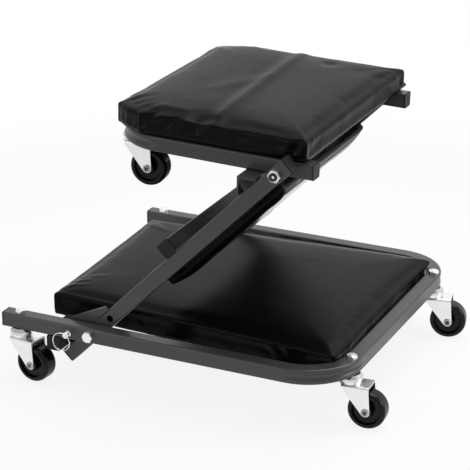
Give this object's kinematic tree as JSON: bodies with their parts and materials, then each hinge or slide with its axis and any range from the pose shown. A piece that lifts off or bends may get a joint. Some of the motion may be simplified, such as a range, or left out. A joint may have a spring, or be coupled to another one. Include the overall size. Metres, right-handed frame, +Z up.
{
  "type": "creeper seat",
  "caption": "Folding mechanic's creeper seat: a padded stool on casters whose leaning links swing over, so that base, middle pad and seat form one long flat creeper.",
  "frame": {"origin": "on the floor under the middle of the whole part's box, half way across its width", "axes": "+X along the rails towards the closed end of the base frame, +Y across to the far side, +Z up"},
  "size_m": [0.5162, 0.4594, 0.3827],
  "materials": {
    "frame_paint": "satin",
    "zinc_plate": "satin",
    "bright_steel": "gloss",
    "vinyl_cover": "satin",
    "plywood": "matte",
    "black_cap": "matte",
    "wheel_black": "gloss",
    "nylon": "satin"
  },
  "bodies": {
    "base": {"base_frame": "frame_paint", "base_rail_caps": "black_cap", "base_stop_tube": "frame_paint", "base_stop_caps": "black_cap", "base_straps": "frame_paint", "base_board": "plywood", "base_cushion": "vinyl_cover", "base_board_screws": "zinc_plate", "base_pivot_bolts": "zinc_plate", "base_pivot_washers": "zinc_plate", "base_pivot_nuts": "zinc_plate", "base_caster_stems": "zinc_plate", "base_caster_nuts": "zinc_plate", "base_caster_races": "zinc_plate"},
    "links": {"link_near": "frame_paint", "link_far": "frame_paint", "link_gussets": "frame_paint", "link_tie_tube": "frame_paint", "link_caps": "black_cap", "middle_board": "plywood", "middle_cushion": "vinyl_cover", "middle_straps": "frame_paint", "middle_board_screws": "zinc_plate"},
    "seat": {"seat_frame": "frame_paint", "seat_rail_caps": "black_cap", "seat_stop_angle": "frame_paint", "seat_board": "plywood", "seat_cushion": "vinyl_cover", "seat_board_screws": "zinc_plate", "seat_pivot_bolts": "zinc_plate", "seat_pivot_spacers": "zinc_plate", "seat_pivot_nuts": "zinc_plate", "seat_pivot_nylon_rings": "nylon", "seat_caster_stems": "zinc_plate", "seat_caster_nuts": "zinc_plate", "seat_caster_races": "zinc_plate"},
    "front_near_swivel": {"front_near_fork": "zinc_plate", "front_near_axle": "zinc_plate"},
    "front_near_wheel": {"front_near_wheel": "wheel_black"},
    "front_far_swivel": {"front_far_fork": "zinc_plate", "front_far_axle": "zinc_plate"},
    "front_far_wheel": {"front_far_wheel": "wheel_black"},
    "rear_near_swivel": {"rear_near_fork": "zinc_plate", "rear_near_axle": "zinc_plate"},
    "rear_near_wheel": {"rear_near_wheel": "wheel_black"},
    "rear_far_swivel": {"rear_far_fork": "zinc_plate", "rear_far_axle": "zinc_plate"},
    "rear_far_wheel": {"rear_far_wheel": "wheel_black"},
    "lock_pin_near": {"lock_pin_near": "bright_steel"},
    "lock_pin_far": {"lock_pin_far": "bright_steel"},
    "pull_ring_near": {"pull_ring_near": "bright_steel"},
    "pull_ring_far": {"pull_ring_far": "bright_steel"},
    "seat_near_swivel": {"seat_near_fork": "zinc_plate", "seat_near_axle": "zinc_plate"},
    "seat_near_wheel": {"seat_near_wheel": "wheel_black"},
    "seat_far_swivel": {"seat_far_fork": "zinc_plate", "seat_far_axle": "zinc_plate"},
    "seat_far_wheel": {"seat_far_wheel": "wheel_black"}
  },
  "joints": [
    {"name": "base_fold", "type": "hinge", "parent": "base", "child": "links", "pos_m": [-0.12812, 0, 0.0805], "axis": [0, -1, 0], "range_deg": [0, 134.6]},
    {"name": "seat_fold", "type": "hinge", "parent": "links", "child": "seat", "pos_m": [0.12361, 0, 0.33223], "axis": [0, 1, 0], "range_deg": [0, 133]},
    {"name": "front_near_turn", "type": "hinge", "parent": "base", "child": "front_near_swivel", "pos_m": [0.20988, -0.15, 0.0705], "axis": [0, 0, 1], "continuous": true},
    {"name": "front_near_roll", "type": "hinge", "parent": "front_near_swivel", "child": "front_near_wheel", "pos_m": [0.23282, -0.1484, 0.025], "axis": [-0.0698, 0.9976, 0], "continuous": true},
    {"name": "front_far_turn", "type": "hinge", "parent": "base", "child": "front_far_swivel", "pos_m": [0.20988, 0.15, 0.0705], "axis": [0, 0, 1], "continuous": true},
    {"name": "front_far_roll", "type": "hinge", "parent": "front_far_swivel", "child": "front_far_wheel", "pos_m": [0.23229, 0.15517, 0.025], "axis": [-0.225, 0.9744, 0], "continuous": true},
    {"name": "rear_near_turn", "type": "hinge", "parent": "base", "child": "rear_near_swivel", "pos_m": [-0.23512, -0.205, 0.0705], "axis": [0, 0, 1], "continuous": true},
    {"name": "rear_near_roll", "type": "hinge", "parent": "rear_near_swivel", "child": "rear_near_wheel", "pos_m": [-0.21229, -0.2078, 0.025], "axis": [0.1219, 0.9925, 0], "continuous": true},
    {"name": "rear_far_turn", "type": "hinge", "parent": "base", "child": "rear_far_swivel", "pos_m": [-0.23512, 0.205, 0.0705], "axis": [0, 0, 1], "continuous": true},
    {"name": "rear_far_roll", "type": "hinge", "parent": "rear_far_swivel", "child": "rear_far_wheel", "pos_m": [-0.21212, 0.205, 0.025], "axis": [0, 1, 0], "continuous": true},
    {"name": "seat_near_turn", "type": "hinge", "parent": "seat", "child": "seat_near_swivel", "pos_m": [-0.11558, -0.102, 0.32891], "axis": [0.0279, 0, 0.9996], "continuous": true},
    {"name": "seat_near_roll", "type": "hinge", "parent": "seat_near_swivel", "child": "seat_near_wheel", "pos_m": [-0.09395, -0.1, 0.28279], "axis": [-0.0871, 0.9962, 0.0024], "continuous": true},
    {"name": "seat_far_turn", "type": "hinge", "parent": "seat", "child": "seat_far_swivel", "pos_m": [-0.11558, 0.102, 0.32891], "axis": [0.0279, 0, 0.9996], "continuous": true},
    {"name": "seat_far_roll", "type": "hinge", "parent": "seat_far_swivel", "child": "seat_far_wheel", "pos_m": [-0.09386, 0.102, 0.28278], "axis": [0, 1, 0], "continuous": true},
    {"name": "lock_near_slide", "type": "slide", "parent": "base", "child": "lock_pin_near", "axis": [0, -1, 0], "range_m": [-0.006, 0.014]},
    {"name": "ring_near_swing", "type": "hinge", "parent": "lock_pin_near", "child": "pull_ring_near", "pos_m": [-0.15642, -0.2255, 0.0805], "axis": [-0.829, 0, 0.5592], "range_deg": [-8, 100]},
    {"name": "lock_far_slide", "type": "slide", "parent": "base", "child": "lock_pin_far", "axis": [0, 1, 0], "range_m": [-0.006, 0.014]},
    {"name": "ring_far_swing", "type": "hinge", "parent": "lock_pin_far", "child": "pull_ring_far", "pos_m": [-0.15642, 0.2255, 0.0805], "axis": [0.829, 0, -0.5592], "range_deg": [-8, 100]}
  ]
}
